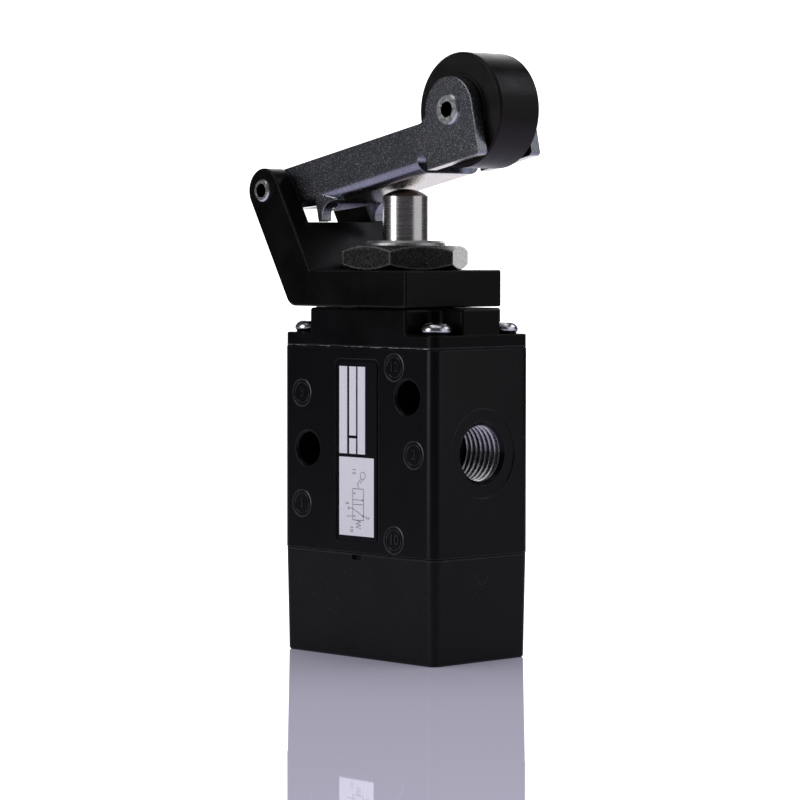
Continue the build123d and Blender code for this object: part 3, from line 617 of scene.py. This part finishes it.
# The pin bores are coloured near black: painted shade inside the holes.
painted_bore_shade = larger(
    tree,
    round_an_axis(tree, (1, 0, 1), (21.717, 0, 112.994), 1.62),
    round_an_axis(tree, (1, 0, 1), (-29.2, 0, 97.1), 1.47),
)
tree.links.new(shade_between(tree, painted_bore_shade, ring, (0.02, 0.019, 0.02)), shader.inputs["Base Color"])
tree.links.new(level_between(tree, worn, 0.24, 0.32), shader.inputs["Roughness"])
relief(tree, shader, mottle(tree, 0.0003), 0.000003)
dress(pin_steel, "pivot_pin", "roller_pin")

# Roller
# The roller is turned from black plastic and runs on a thin bronze bush.

roller_plastic, tree, shader = new_finish("roller_plastic", (0.007, 0.006, 0.006), 0.33, specular=0.17)
cloud = mottle(tree, 0.004, 0.35, 0.65)
tree.links.new(shade_between(tree, cloud, (0.0070, 0.0056, 0.0052), (0.0105, 0.0086, 0.0082)), shader.inputs["Base Color"])
tree.links.new(level_between(tree, cloud, 0.3, 0.4), shader.inputs["Roughness"])
relief(tree, shader, mottle(tree, 0.0002, stretch=(1, 0.05, 1)), 0.000006, edge=0.0003)
dress(roller_plastic, "roller")

bronze, tree, shader = new_finish("sintered_bronze", (0.45, 0.27, 0.12), 0.45, metallic=1.0)
pores = mottle(tree, 0.0002, 0.4, 0.6)
tree.links.new(shade_between(tree, pores, (0.34, 0.20, 0.09), (0.50, 0.31, 0.15)), shader.inputs["Base Color"])
relief(tree, shader, pores, 0.00001)
dress(bronze, "roller_bush")

# Table, lights and camera
# The valve stands on a round table of glossy white acrylic that is lit from below, in front of a
# white backdrop, between a bright tall softbox on the left and a dimmer wide one on the right.

TABLE_RADIUS = 0.42
table_mesh = bmesh.new()
bmesh.ops.create_circle(table_mesh, cap_ends=True, radius=TABLE_RADIUS, segments=128)
table = bpy.data.objects.new("table", bpy.data.meshes.new("table"))
table_mesh.to_mesh(table.data)
table_mesh.free()
bpy.context.scene.collection.objects.link(table)
acrylic = bpy.data.materials.new("white_acrylic")
acrylic.use_nodes = True
tree = acrylic.node_tree
tree.nodes.remove(tree.nodes["Principled BSDF"])
glow = tree.nodes.new("ShaderNodeEmission")
glow.inputs["Color"].default_value = (0.825, 0.79, 1.0, 1)
# The table's glow is dimmed by ambient occlusion near the valve: a painted contact shadow.
painted_contact_shadow = tree.nodes.new("ShaderNodeAmbientOcclusion")
painted_contact_shadow.samples = 8
painted_contact_shadow.inputs["Distance"].default_value = 0.06
tree.links.new(level_between(tree, painted_contact_shadow.outputs["AO"], 0.04, 0.80), glow.inputs["Strength"])
gloss = tree.nodes.new("ShaderNodeBsdfGlossy")
gloss.inputs["Color"].default_value = (1.3, 1.3, 1.3, 1)
gloss.inputs["Roughness"].default_value = 0.02
fresnel = tree.nodes.new("ShaderNodeFresnel")
fresnel.inputs["IOR"].default_value = 1.45
mix = tree.nodes.new("ShaderNodeMixShader")
tree.links.new(fresnel.outputs[0], mix.inputs[0])
tree.links.new(glow.outputs[0], mix.inputs[1])
tree.links.new(gloss.outputs[0], mix.inputs[2])
tree.links.new(mix.outputs[0], tree.nodes["Material Output"].inputs["Surface"])
table.data.materials.append(acrylic)

CAMERA_TURN, CAMERA_TILT, CAMERA_ROLL = (math.radians(v) for v in (46.1917, 2.7827, 0.04566))
CAMERA_PLACE = (0.498788, -0.480030, 0.086788)
CAMERA_LENS = 148.851
turn, tilt = CAMERA_TURN, CAMERA_TILT
back = Vector((math.sin(turn) * math.cos(tilt), -math.cos(turn) * math.cos(tilt), math.sin(tilt)))
right = Vector((math.cos(turn), math.sin(turn), 0))
up = back.cross(right)
camera = bpy.data.objects.new("camera", bpy.data.cameras.new("camera"))
camera.data.lens = CAMERA_LENS
camera.data.clip_start, camera.data.clip_end = 0.05, 20
basis = Matrix((right, up, back)).transposed().to_4x4()
camera.matrix_world = Matrix.Translation(CAMERA_PLACE) @ basis @ Matrix.Rotation(CAMERA_ROLL, 4, "Z")
bpy.context.scene.collection.objects.link(camera)
bpy.context.scene.camera = camera

TARGET = Vector((0, 0, 0.065))
all_but_table = bpy.data.collections.new("all_but_table")
all_but_table.objects.link(table)
all_but_table.collection_objects[0].light_linking.link_state = "EXCLUDE"


def softbox(name, turn, tilt, distance, width, height, brightness, colour=(1, 1, 1)):
    """A rectangle of even light aimed at the valve; turn and tilt are the view's angles to it."""
    light = bpy.data.lights.new(name, "AREA")
    light.shape = "RECTANGLE"
    light.size, light.size_y = width, height
    light.color = colour
    light.energy = brightness * math.pi * width * height
    turn, tilt = math.radians(turn), math.radians(tilt)
    toward = Vector((math.sin(turn) * math.cos(tilt), -math.cos(turn) * math.cos(tilt), math.sin(tilt)))
    lamp = bpy.data.objects.new(name, light)
    lamp.location = TARGET + toward * distance
    lamp.rotation_euler = toward.to_track_quat("Z", "Y").to_euler()
    lamp.visible_camera = False
    lamp.light_linking.receiver_collection = all_but_table
    bpy.context.scene.collection.objects.link(lamp)


softbox("softbox_left", -17, 14, 0.9, 0.42, 0.8, 3.2)
softbox("softbox_right", 112, 16, 0.9, 0.85, 0.85, 0.75)
softbox("softbox_top", 46, 88, 1.0, 0.9, 0.9, 0.9)
softbox("softbox_rear", 215, 20, 1.0, 0.6, 0.8, 0.8)
softbox("softbox_high", 148, 37, 0.9, 0.4, 0.3, 1.9, (0.85, 0.87, 1.0))

world = bpy.data.worlds.new("studio")
world.use_nodes = True
bpy.context.scene.world = world
tree = world.node_tree
background = tree.nodes["Background"]
paths = tree.nodes.new("ShaderNodeLightPath")
coords = tree.nodes.new("ShaderNodeTexCoord")
facing = tree.nodes.new("ShaderNodeVectorMath")
facing.operation = "DOT_PRODUCT"
facing.inputs[1].default_value = -back
patch = tree.nodes.new("ShaderNodeMapRange")
patch.interpolation_type = "SMOOTHSTEP"
patch.inputs["From Min"].default_value = math.cos(math.radians(40))
patch.inputs["From Max"].default_value = math.cos(math.radians(30))
patch.inputs["To Min"].default_value = 0.05
patch.inputs["To Max"].default_value = 1.7
seen = tree.nodes.new("ShaderNodeMath")
seen.operation = "MAXIMUM"
lift = tree.nodes.new("ShaderNodeMath")
lift.operation = "MULTIPLY"
lift.inputs[1].default_value = 1.1
tree.links.new(coords.outputs["Generated"], facing.inputs[0])
tree.links.new(facing.outputs["Value"], patch.inputs["Value"])
tree.links.new(paths.outputs["Is Camera Ray"], lift.inputs[0])
tree.links.new(lift.outputs[0], seen.inputs[0])
tree.links.new(patch.outputs["Result"], seen.inputs[1])
tree.links.new(seen.outputs[0], background.inputs["Strength"])
background.inputs["Color"].default_value = (1, 1, 1, 1)
bpy.context.scene.view_settings.view_transform = "Standard"
